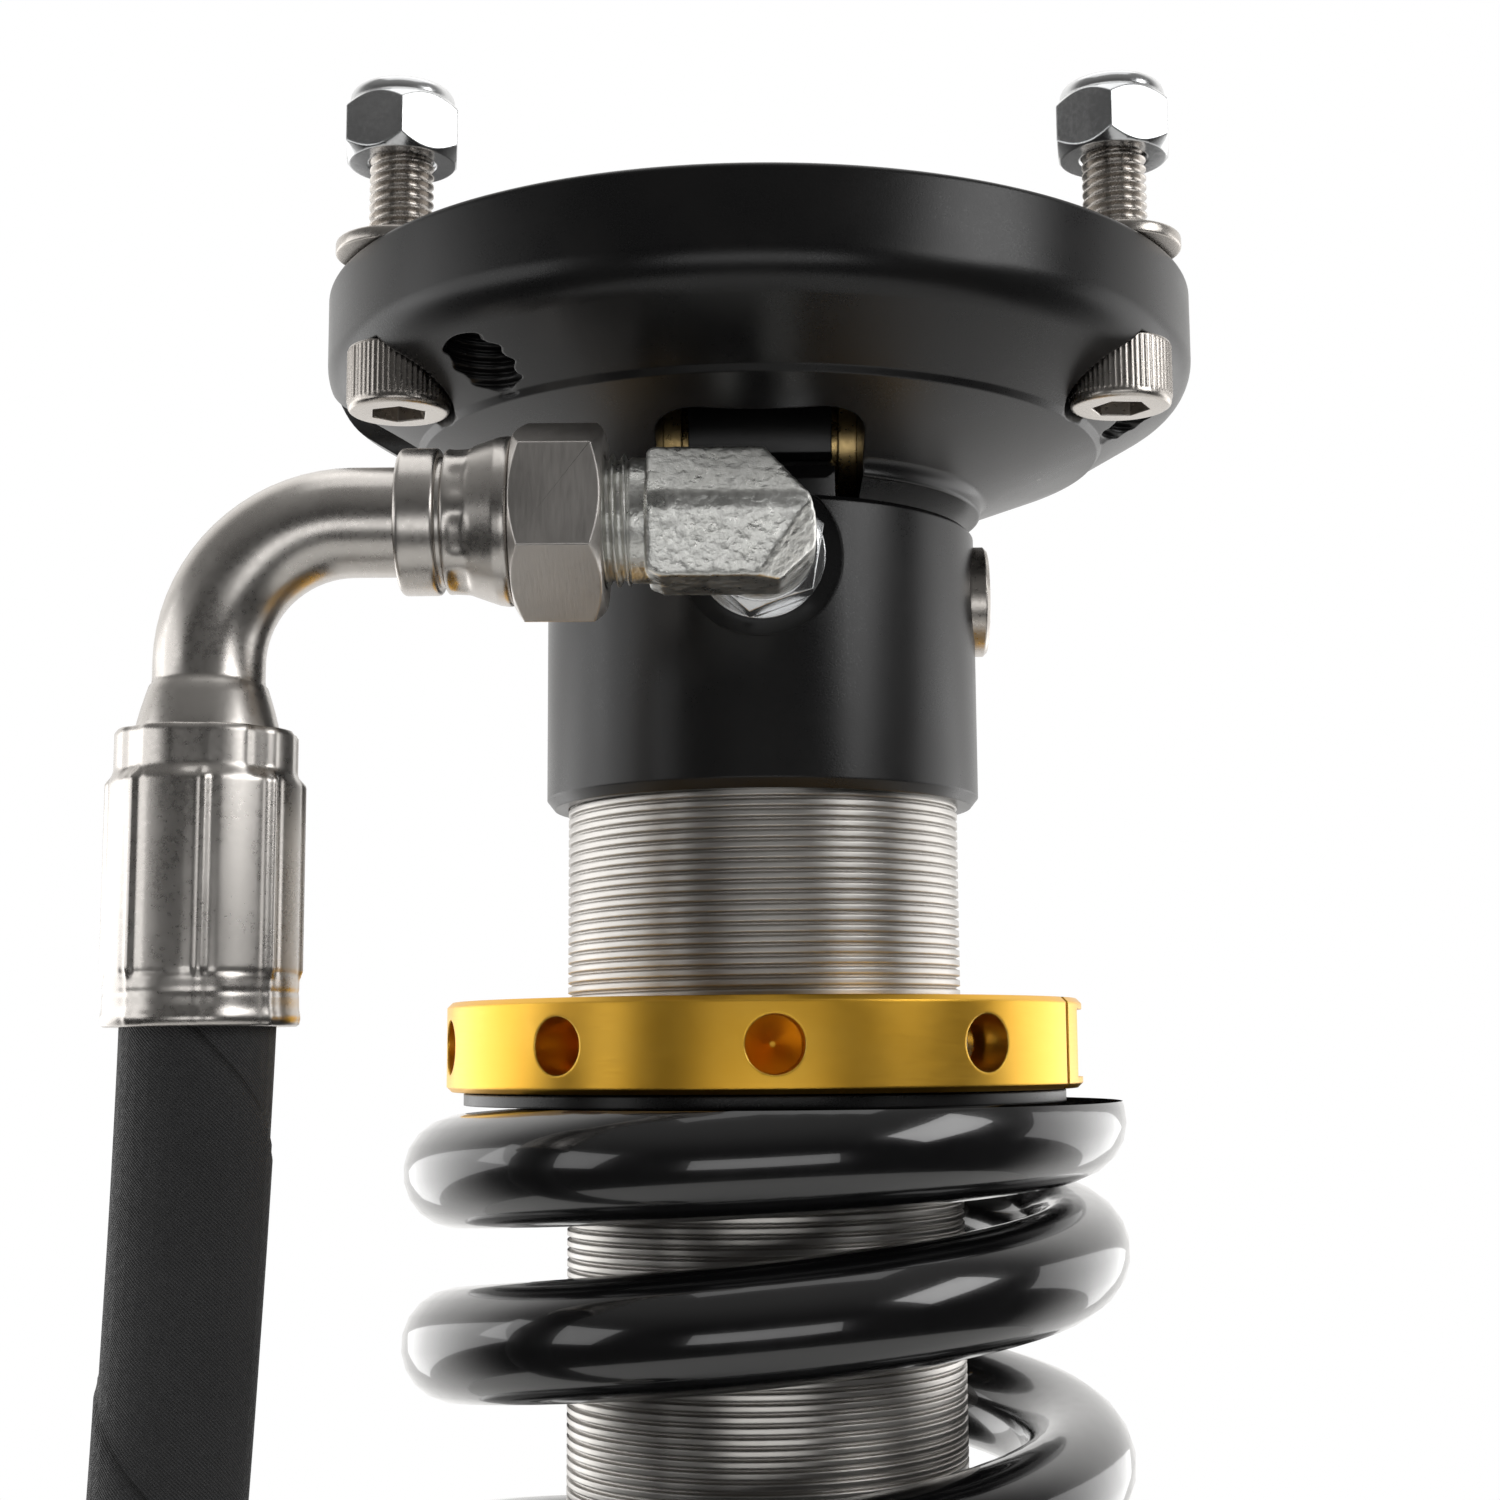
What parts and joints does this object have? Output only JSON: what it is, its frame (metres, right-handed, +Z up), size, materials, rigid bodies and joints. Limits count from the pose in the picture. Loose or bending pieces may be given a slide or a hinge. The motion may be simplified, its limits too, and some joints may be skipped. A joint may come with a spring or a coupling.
{
  "type": "coilover damper",
  "caption": "Coil-over suspension damper with a bolted top hat, threaded collar, hose-fed remote reservoir and a spherical lower eye.",
  "frame": {"origin": "centre of the top hat upper face, where it meets the vehicle tower", "axes": "+Z up along the damper towards the tower, +X across along the cross bolt, -Y towards the hose port"},
  "size_m": [0.1855, 0.1642, 0.569],
  "materials": {
    "black_anodised": "satin black anodised",
    "gold_anodised": "bright gold anodised",
    "raw_aluminium": "machined",
    "stainless": "brushed stainless",
    "zinc_plate": "bright zinc plate",
    "yellow_zinc": "yellow zinc plate",
    "body_steel": "machined steel, rolled thread",
    "bearing_steel": "polished",
    "hard_chrome": "ground hard chrome",
    "spring_black": "gloss black powder coat",
    "black_oxide": "black oxide",
    "rubber_black": "moulded",
    "hose_cover": "wrapped cloth impression",
    "yellow_urethane": "moulded urethane",
    "brass": "machined",
    "bronze_ptfe": "bronze-filled bearing tape"
  },
  "bodies": {
    "hat": {"top_hat": "black_anodised", "tower_bolts": "stainless", "tower_washers": "stainless", "tower_nuts": "zinc_plate", "cross_bolt": "black_oxide", "upper_spacers": "yellow_zinc"},
    "ball": {"upper_ball": "bearing_steel"},
    "damper": {"upper_race": "stainless", "upper_snap_rings": "black_oxide", "body_cap": "black_anodised", "side_plug": "stainless", "body_tube": "body_steel", "port_elbow": "zinc_plate", "port_nut": "zinc_plate", "port_washer": "zinc_plate", "swivel_nut": "stainless", "hose_elbow": "stainless", "upper_ferrule": "stainless", "hose": "hose_cover", "lower_ferrule": "stainless", "hose_stem": "stainless", "reservoir_nut": "stainless", "reservoir_adapter": "zinc_plate", "reservoir_tube": "black_anodised", "reservoir_top_cap": "black_anodised", "reservoir_end_cap": "black_anodised", "reservoir_snap_rings": "black_oxide", "charge_valve": "brass", "valve_cap": "rubber_black", "seal_head": "raw_aluminium", "rod_seal": "rubber_black", "wiper": "rubber_black", "head_snap_ring": "black_oxide"},
    "separator": {"floating_piston": "gold_anodised", "floating_seal": "rubber_black"},
    "seat": {"seat_ring": "black_anodised"},
    "collar": {"adjuster_collar": "gold_anodised", "pinch_screw": "black_oxide", "set_screw": "stainless"},
    "rod": {"coil_spring": "spring_black", "shaft": "hard_chrome", "piston": "raw_aluminium", "piston_ring": "bronze_ptfe", "shims": "bearing_steel", "piston_nut": "zinc_plate", "topout_bumper": "rubber_black", "bump_stop": "yellow_urethane", "lower_perch": "black_anodised", "lower_mount": "black_anodised", "lower_race": "stainless", "lower_snap_rings": "black_oxide"},
    "lower_swivel": {"lower_ball": "bearing_steel"},
    "lower_sleeve": {"lower_spacers": "yellow_zinc"}
  },
  "joints": [
    {"name": "upper_pitch", "type": "hinge", "parent": "hat", "child": "ball", "pos_m": [0, 0, -0.022], "axis": [1, 0, 0], "range_deg": [-3.5, 3.5]},
    {"name": "upper_roll", "type": "hinge", "parent": "ball", "child": "damper", "pos_m": [0, 0, -0.022], "axis": [0, 1, 0], "range_deg": [-2.5, 2.5]},
    {"name": "ride_height", "type": "slide", "parent": "damper", "child": "seat", "axis": [0, 0, 1], "range_m": [0, 0.022]},
    {"name": "collar_turn", "type": "hinge", "parent": "seat", "child": "collar", "pos_m": [0, 0, -0.1217], "axis": [0, 0, 1], "range_deg": [0, 4988.99]},
    {"name": "travel", "type": "slide", "parent": "seat", "child": "rod", "axis": [0, 0, 1], "range_m": [0, 0.105], "stiffness_N_per_m": 30000, "deforming": ["coil_spring"]},
    {"name": "separator_slide", "type": "slide", "parent": "damper", "child": "separator", "axis": [0, 0, 1], "range_m": [-0.0185, 0]},
    {"name": "lower_tilt", "type": "hinge", "parent": "rod", "child": "lower_swivel", "pos_m": [0, 0, -0.52], "axis": [0, 1, 0], "range_deg": [-9, 9]},
    {"name": "lower_spin", "type": "hinge", "parent": "lower_swivel", "child": "lower_sleeve", "pos_m": [0, 0, -0.52], "axis": [1, 0, 0], "continuous": true}
  ],
  "couplings": [
    {"joint": "collar_turn", "follows": "ride_height", "rad_per_m": 3957.9},
    {"joint": "separator_slide", "follows": "travel", "ratio": -0.16901}
  ]
}
